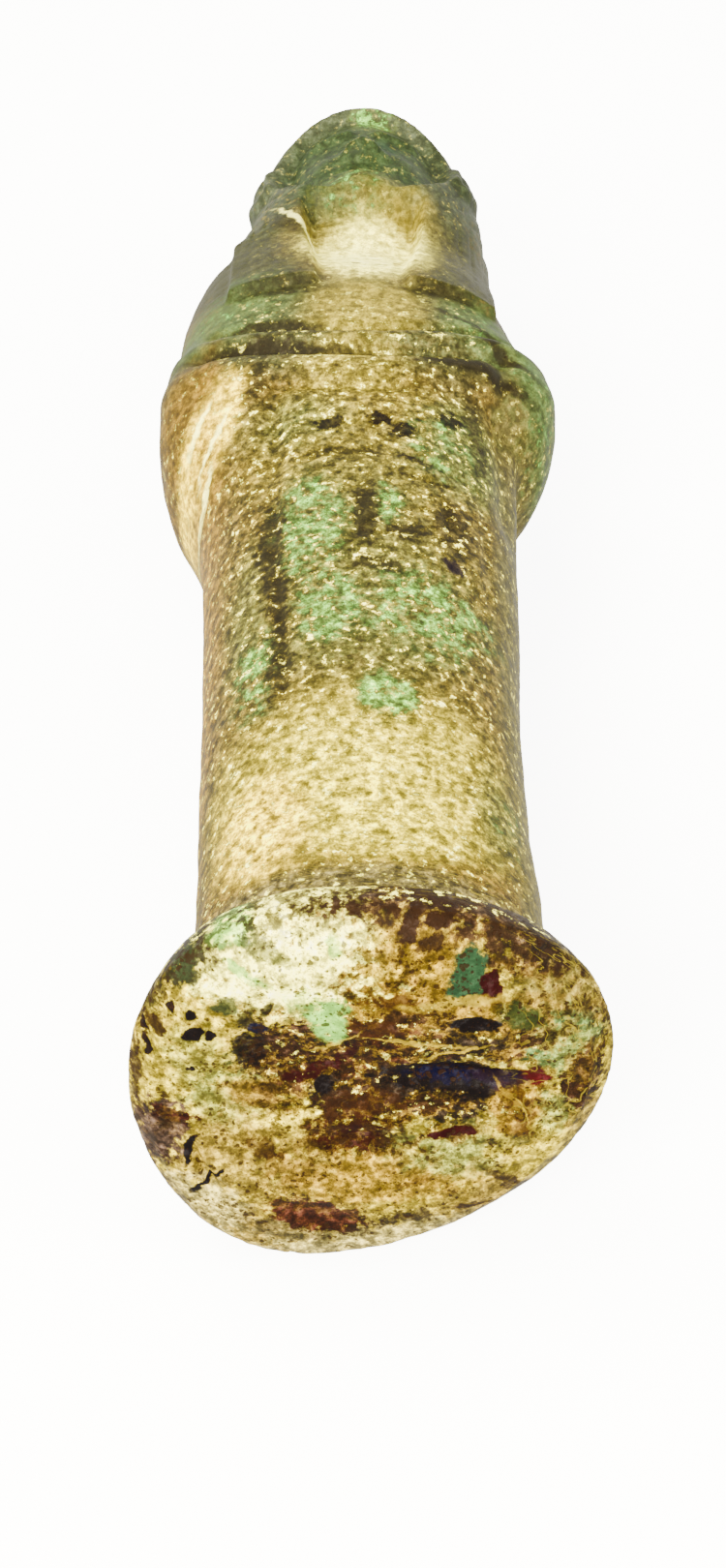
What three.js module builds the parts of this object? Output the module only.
// A glazed ceramic funerary figurine: a mummy-shaped figure in a long wig, arms crossed on
// the chest, feet joined on a rounded sole. It was pressed in a mould in one piece, so it is
// one solid. It lies on its back. Units are millimetres, +X is the viewer's right when looking
// at the chest from the feet, +Y runs from the sole to the crown and +Z comes out of the chest.
import * as THREE from 'three';

const { clamp, degToRad, lerp, smoothstep } = THREE.MathUtils;

// ---- Driving dimensions ----------------------------------------------------------------

const CROWN = 125; // length of the figure, sole to crown
const CAP_START = 120.6; // where the rings end and the crown's dome begins
const SOLE_EDGE = 0.9; // how far the sole's rim stands back from its middle
const REST_SINK = 0.35; // thickness taken off the back, which leaves it flat to lie on

// The outer skin at each landmark of the body: distance from the sole, reach to the left and
// right of the middle plane, height of the front and of the back above the table, and where
// between them the body is widest, as a share of its depth.
const LANDMARKS = [
  { name: 'sole rim', at: 0.9, left: 11.7, right: 13.1, front: 26.8, back: 1.4, widest: 0.55 },
  { name: 'ball of the foot', at: 2.2, left: 13, right: 14.5, front: 28, back: 0.4, widest: 0.55 },
  { name: 'toes', at: 4.2, left: 12.4, right: 13.6, front: 27.7, back: 0.1, widest: 0.55 },
  { name: 'instep', at: 7.5, left: 11, right: 11.9, front: 23.2, back: 0.6, widest: 0.52 },
  { name: 'ankle', at: 12, left: 10.4, right: 11.9, front: 19.4, back: 1.3, widest: 0.46 },
  { name: 'lower shin', at: 20, left: 10.4, right: 11.9, front: 18.7, back: 1.4, widest: 0.46 },
  { name: 'shin', at: 28, left: 10.7, right: 11.5, front: 19, back: 1, widest: 0.46 },
  { name: 'knee', at: 40, left: 11.1, right: 11.4, front: 20, back: 0.1, widest: 0.46 },
  { name: 'thigh', at: 52, left: 11.6, right: 11.8, front: 21.2, back: 0, widest: 0.48 },
  { name: 'belly', at: 59, left: 12.1, right: 11.9, front: 21.7, back: 0, widest: 0.52 },
  { name: 'under the elbows', at: 63.5, left: 13.2, right: 12, front: 22.2, back: 0, widest: 0.56 },
  { name: 'points of the elbows', at: 68.5, left: 15.3, right: 12.2, front: 22.7, back: 0, widest: 0.6 },
  { name: 'lower elbows', at: 72, left: 16, right: 14.7, front: 23.1, back: 0, widest: 0.62 },
  { name: 'elbows', at: 75.5, left: 16.1, right: 15.6, front: 23.4, back: 0, widest: 0.62 },
  { name: 'upper arms', at: 82, left: 15.2, right: 13.3, front: 23.4, back: 0, widest: 0.62 },
  { name: 'shoulders', at: 89, left: 15.1, right: 12.3, front: 22.6, back: 0.2, widest: 0.58 },
  { name: 'neck', at: 95, left: 14.5, right: 11.3, front: 21.8, back: 0.8, widest: 0.54 },
  { name: 'jaw', at: 100, left: 11.7, right: 10.7, front: 22.7, back: 1, widest: 0.46 },
  { name: 'cheeks', at: 106, left: 10.1, right: 10.7, front: 23.6, back: 0.9, widest: 0.46 },
  { name: 'brow', at: 112, left: 9.8, right: 9.9, front: 23.9, back: 1.2, widest: 0.46 },
  { name: 'hairline', at: 117, left: 8.3, right: 8.3, front: 23.2, back: 2.6, widest: 0.46 },
  { name: 'top of the wig', at: 120.6, left: 6.3, right: 6.3, front: 20.9, back: 4.8, widest: 0.46 },
];

// Sections are rounded boxes: exponent 2 is an ellipse, and more is squarer.
const BODY_SQUARENESS = 2.3;
const HEAD_SQUARENESS = 1.95;
const HEAD_START = [100, 111]; // where the body's section turns into the head's
const HEEL_SQUARENESS = { left: 1.85, right: 2 };
const HEEL_LEAN = 3.5; // the worn heel's lowest line lies this far left of the middle
const FOOT_TILT = 1.6; // the foot's widest line is this much higher on the right
const FOOT_END = [7, 14]; // where the foot's section turns into the leg's

// Wig, with a lappet on each side of the neck
const WIG_THICK = 0.8;
const WIG_HEM = { side: 101.5, back: 93 }; // lower edge of the wig behind the lappets
const LAPPET_END = 84; // lower ends of the lappets on the chest
const LAPPET_OUTER = 10.8;
const LAPPET_GAP = { low: 3.5, high: 4.8 }; // half the gap between them, at the chest and jaw
const LAPPET_SOFT = 0.9;

// Face opening and features, on plain proportions: eyes halfway up the head, nose a third
// of the face, mouth a third of the way from nose to chin
const FACE = { middle: 109.6, halfHeight: 8.4, halfWidth: 7.1, chin: 101.7, sunk: 0.6 };
const EYES = { at: 111, apart: 3, halfLength: 1.7, deep: 0.8 };
const NOSE = { root: 112.4, tip: 107.9, base: 106.7, high: 2, halfWidth: 1.3 };
const MOUTH = { at: 105, halfWidth: 2.4, high: 0.45 };
const EARS = { at: 109.4, out: 8, high: 0.7, halfWidth: 1.5, halfHeight: 2.6 };
const NECK = { low: 86, deepest: 98, high: 100.9, deep: 1.9 };

// Arms crossed low on the chest, seen as two ridges between three furrows
const ARM_RISE = 0.017; // how fast the furrows climb towards the sides
const FURROWS = [
  { at: 76, deep: 0.55, wide: 0.75, from: -12, to: 14 },
  { at: 72.8, deep: 0.75, wide: 0.8, from: -13, to: 12 },
  { at: 68.2, deep: 0.35, wide: 0.9, from: -6.5, to: 3 },
];
const RIDGES = [
  { at: 74.4, high: 0.4, wide: 1.5 },
  { at: 70.4, high: 0.45, wide: 2 },
];
const ELBOW_CREASES = [
  { out: -6.6, low: 58, high: 70, deep: 0.55 },
  { out: 11.2, low: 58, high: 75, deep: 0.6 },
];

const SOLE_TROUGH = { height: 15.5, wide: 4, deep: 0.5 }; // worn hollow across the sole

// Mesh: columns round the body, four sides of the caps' grid, and rows between landmarks
const CAP_SIDE = 14;
const FRONT_CROWDING = 0.25; // how much closer the columns stand on the front
const ROW_BANDS = [
  { from: SOLE_EDGE, to: 13, rows: 10 },
  { from: 13, to: 30, rows: 6 },
  { from: 30, to: 60, rows: 13 },
  { from: 60, to: 88, rows: 22 },
  { from: 88, to: CAP_START, rows: 28 },
];

const GLAZE = { color: 0x9c9868, roughness: 0.45, metalness: 0 };

// ---- Profiles --------------------------------------------------------------------------

// Smooth curve through the landmarks that never overshoots them (monotone cubic).
function profile(key) {
  const xs = LANDMARKS.map((mark) => mark.at);
  const ys = LANDMARKS.map((mark) => mark[key]);
  const steps = xs.slice(1).map((x, i) => x - xs[i]);
  const slopes = steps.map((step, i) => (ys[i + 1] - ys[i]) / step);
  const tangents = ys.map((_, i) => {
    if (i === 0) return slopes[0];
    if (i === slopes.length) return slopes[i - 1];
    const [before, after] = [slopes[i - 1], slopes[i]];
    if (before * after <= 0) return 0;
    const [w1, w2] = [2 * steps[i] + steps[i - 1], steps[i] + 2 * steps[i - 1]];
    return (w1 + w2) / (w1 / before + w2 / after);
  });
  return (x) => {
    const reached = clamp(x, xs[0], xs[xs.length - 1]);
    const i = clamp(xs.findIndex((end) => reached < end) - 1, 0, steps.length - 1);
    const cell = reached === xs[xs.length - 1] ? steps.length - 1 : i;
    const t = (reached - xs[cell]) / steps[cell];
    const rise = steps[cell] * t * (1 - t);
    return (
      lerp(ys[cell], ys[cell + 1], t * t * (3 - 2 * t)) +
      rise * ((1 - t) * tangents[cell] - t * tangents[cell + 1])
    );
  };
}

const skin = {
  left: profile('left'),
  right: profile('right'),
  front: profile('front'),
  back: profile('back'),
  widest: profile('widest'),
};

// A hump of height 1 and the given half-width, and a soft-edged band from low to high.
const hump = (distance, halfWidth) => Math.exp(-((distance / halfWidth) ** 2));
const band = (value, low, high, soft) =>
  smoothstep(value, low - soft, low + soft) * (1 - smoothstep(value, high - soft, high + soft));

// ---- Front relief ----------------------------------------------------------------------

function lappetGap(at) {
  return lerp(LAPPET_GAP.low, LAPPET_GAP.high, smoothstep(at, LAPPET_END, FACE.chin));
}

// 1 inside the face opening and 0 outside it
function faceOpening(x, at) {
  const reach = Math.hypot(x / FACE.halfWidth, (at - FACE.middle) / FACE.halfHeight);
  return 1 - smoothstep(reach, 0.82, 1.14);
}

// Height of the face above the lowest point of its rim, with brow, nose, lips and chin
function faceRelief(x, at) {
  const side = Math.abs(x);
  const chin = 1.5 * hump(x, 3) * hump(at - (FACE.chin + 0.9), 1.6);
  const cheeks = 0.5 * hump(side - 3.6, 1.8) * hump(at - 107.4, 2.2);
  const brow = 0.35 * hump(at - 112.8, 0.9) * band(side, 1, 5.2, 0.8);
  const sockets = -EYES.deep * hump(side - EYES.apart, 1.9) * hump(at - EYES.at, 1.3);
  const lids = 0.5 * hump(side - EYES.apart, 1.3) * hump(at - EYES.at, 0.75);
  const length = clamp((NOSE.root - at) / (NOSE.root - NOSE.tip), 0, 1);
  const width = NOSE.halfWidth * lerp(0.6, 1.25, length);
  const nose = NOSE.high * length ** 1.3 * hump(x, width) * smoothstep(at, NOSE.base - 0.5, NOSE.tip - 0.3);
  const lips = MOUTH.high * hump(x, MOUTH.halfWidth) * hump(Math.abs(at - MOUTH.at) - 0.5, 0.5);
  const roundness = -0.5 * (side / FACE.halfWidth) ** 2.2 - 0.3 * smoothstep(at, 112, 118);
  return chin + cheeks + brow + sockets + lids + nose + lips + roundness;
}

function earRelief(x, at) {
  const reach = Math.hypot((Math.abs(x) - EARS.out) / EARS.halfWidth, (at - EARS.at) / EARS.halfHeight);
  return EARS.high * (1 - smoothstep(reach, 0.5, 1.2));
}

// `up` is 1 in the middle of the front and -1 in the middle of the back.
function wigThickness(x, at, up, onFront) {
  const side = Math.abs(x);
  const hem = lerp(WIG_HEM.side, WIG_HEM.back, smoothstep(-up, 0.1, 0.8));
  const hood = smoothstep(at, hem - LAPPET_SOFT, hem + LAPPET_SOFT) * (1 - onFront);
  const lappets = band(side, lappetGap(at), LAPPET_OUTER, LAPPET_SOFT) *
    smoothstep(at, LAPPET_END - LAPPET_SOFT, LAPPET_END + LAPPET_SOFT);
  const crown = smoothstep(at, FACE.chin - 1, FACE.chin + 1);
  return WIG_THICK * Math.max(hood, onFront * Math.max(lappets, crown));
}

// 1 where the throat is deepest under the chin, fading down to the chest
function throat(x, at) {
  const across = band(x, -lappetGap(at), lappetGap(at), 1);
  return across * smoothstep(at, NECK.low, NECK.deepest) * (1 - smoothstep(at, NECK.high - 1, NECK.high + 1));
}

function armRelief(x, at) {
  const level = at - ARM_RISE * x * x;
  let relief = 0;
  for (const ridge of RIDGES) relief += ridge.high * hump(level - ridge.at, ridge.wide);
  for (const furrow of FURROWS) {
    relief -= furrow.deep * hump(level - furrow.at, furrow.wide) * band(x, furrow.from, furrow.to, 1);
  }
  for (const crease of ELBOW_CREASES) {
    relief -= crease.deep * hump(x - crease.out, 1) * band(at, crease.low, crease.high, 2);
  }
  return relief;
}

// ---- Skin ------------------------------------------------------------------------------

// A point of the figure at a distance from the sole. The angle runs round the body from its
// right side, and 90 degrees is the middle of the front.
function bodyPoint(at, angle) {
  const [left, right, front, back] = [skin.left(at), skin.right(at), skin.front(at), skin.back(at)];
  const foot = 1 - smoothstep(at, ...FOOT_END);
  const middle = (right - left) / 2;
  const reach = (right + left) / 2;
  const [across, up] = [Math.cos(angle), Math.sin(angle)];
  const level = lerp(back, front, skin.widest(at)) + FOOT_TILT * foot * across;
  const below = up < 0;
  const heel = lerp(HEEL_SQUARENESS.left, HEEL_SQUARENESS.right, (across + 1) / 2);
  const body = lerp(BODY_SQUARENESS, HEAD_SQUARENESS, smoothstep(at, ...HEAD_START));
  const squareness = below ? lerp(body, heel, foot) : body;
  const power = 2 / squareness;
  const rise = Math.abs(up) ** power;
  let x = middle + reach * Math.sign(across) * Math.abs(across) ** power;
  let z = level + (below ? -(level - back) : front - level) * rise;
  if (below) x -= HEEL_LEAN * foot * rise ** 2;

  // relief stands out along the section's normal
  const onFront = smoothstep(up, 0.05, 0.45);
  const height = front - level;
  const normal = new THREE.Vector2(across / reach, up / height).normalize();
  const offset = wigThickness(x, at, up, onFront) + onFront * (armRelief(x, at) + earRelief(x, at));
  const [baseX, baseZ] = [x, z];
  x += normal.x * offset;
  z += normal.y * offset - NECK.deep * onFront * throat(x, at);
  const opening = onFront * faceOpening(baseX, at);
  x = lerp(x, baseX, opening);
  z = lerp(z, baseZ - FACE.sunk + faceRelief(baseX, at), opening);
  return new THREE.Vector3(x, at, Math.max(z - REST_SINK, 0));
}

function columnAngle(angle, spread = 1) {
  return angle + FRONT_CROWDING * spread * Math.cos(angle);
}

// The angles of the columns meet the edge of a square grid that is pressed into a disc.
const columnAngles = [];
for (let side = 0; side < 4; side += 1) {
  for (let step = 0; step < CAP_SIDE; step += 1) {
    const edge = -1 + (2 * step) / CAP_SIDE;
    columnAngles.push(Math.asin(edge / Math.SQRT2) + degToRad(90 * side));
  }
}
const COLUMNS = columnAngles.length;

const rowPlaces = [ROW_BANDS[0].from];
for (const { from, to, rows } of ROW_BANDS) {
  for (let row = 1; row <= rows; row += 1) rowPlaces.push(lerp(from, to, row / rows));
}

// ---- Mesh ------------------------------------------------------------------------------

const points = [];
const triangles = [];

function addPoint(point) {
  points.push(point.x, point.y, point.z);
  return points.length / 3 - 1;
}

function addQuad(a, b, c, d) {
  triangles.push(a, b, c, a, c, d);
}

const rings = rowPlaces.map((at) => columnAngles.map((angle) => addPoint(bodyPoint(at, columnAngle(angle)))));

function addSides() {
  for (let row = 0; row + 1 < rings.length; row += 1) {
    const [low, high] = [rings[row], rings[row + 1]];
    for (let column = 0; column < COLUMNS; column += 1) {
      const next = (column + 1) % COLUMNS;
      addQuad(low[column], high[column], high[next], low[next]);
    }
  }
}

// Fills a ring with a square grid pressed into its outline. `along` gives each point's
// distance from the sole, from its share of the way out and its place.
function addCap(ring, at, along, facesSole) {
  const outline = (angle, share) => bodyPoint(at, columnAngle(angle, share));
  const middle = new THREE.Vector3()
    .addVectors(outline(degToRad(90), 1), outline(degToRad(270), 1))
    .multiplyScalar(0.5);
  const rows = [];
  for (let i = 0; i <= CAP_SIDE; i += 1) {
    rows.push([]);
    for (let j = 0; j <= CAP_SIDE; j += 1) {
      const [u, v] = [-1 + (2 * i) / CAP_SIDE, -1 + (2 * j) / CAP_SIDE];
      const onEdge = i === 0 || j === 0 || i === CAP_SIDE || j === CAP_SIDE;
      if (onEdge) {
        rows[i].push(ring[edgeColumn(i, j)]);
        continue;
      }
      const [x, y] = [u * Math.sqrt(1 - (v * v) / 2), v * Math.sqrt(1 - (u * u) / 2)];
      const share = Math.hypot(x, y);
      const point = middle.clone().lerp(outline(Math.atan2(y, x), share), share);
      point.y = along(share, point);
      rows[i].push(addPoint(point));
    }
  }
  for (let i = 0; i < CAP_SIDE; i += 1) {
    for (let j = 0; j < CAP_SIDE; j += 1) {
      const corners = [rows[i][j], rows[i + 1][j], rows[i + 1][j + 1], rows[i][j + 1]];
      addQuad(...(facesSole ? corners : corners.reverse()));
    }
  }
}

// Column of the ring that a point on the edge of the square grid stands for
function edgeColumn(i, j) {
  if (i === CAP_SIDE && j < CAP_SIDE) return j;
  if (j === CAP_SIDE && i > 0) return 2 * CAP_SIDE - i;
  if (i === 0 && j > 0) return 3 * CAP_SIDE - j;
  return (3 * CAP_SIDE + i) % COLUMNS;
}

function soleDepth(share, point) {
  const { height, wide, deep } = SOLE_TROUGH;
  return SOLE_EDGE * share ** 6 + deep * hump(point.z - height, wide) * (1 - share ** 4);
}

function crownHeight(share) {
  return CAP_START + (CROWN - CAP_START) * (1 - share ** 1.9);
}

addSides();
addCap(rings[0], rowPlaces[0], soleDepth, true);
addCap(rings[rings.length - 1], CAP_START, crownHeight, false);

const geometry = new THREE.BufferGeometry();
geometry.setAttribute('position', new THREE.Float32BufferAttribute(points, 3));
geometry.setIndex(triangles);

// The origin lies on the table, under the middle of the figure's box.
geometry.computeBoundingBox();
const box = geometry.boundingBox;
const centre = box.getCenter(new THREE.Vector3());
geometry.translate(-centre.x, -centre.y, -box.min.z);
geometry.computeVertexNormals();

const figure = new THREE.Mesh(geometry, new THREE.MeshStandardMaterial(GLAZE));
figure.name = 'figurine_body';

const ushabti = new THREE.Group();
ushabti.name = 'ushabti';
ushabti.add(figure);

export default ushabti;
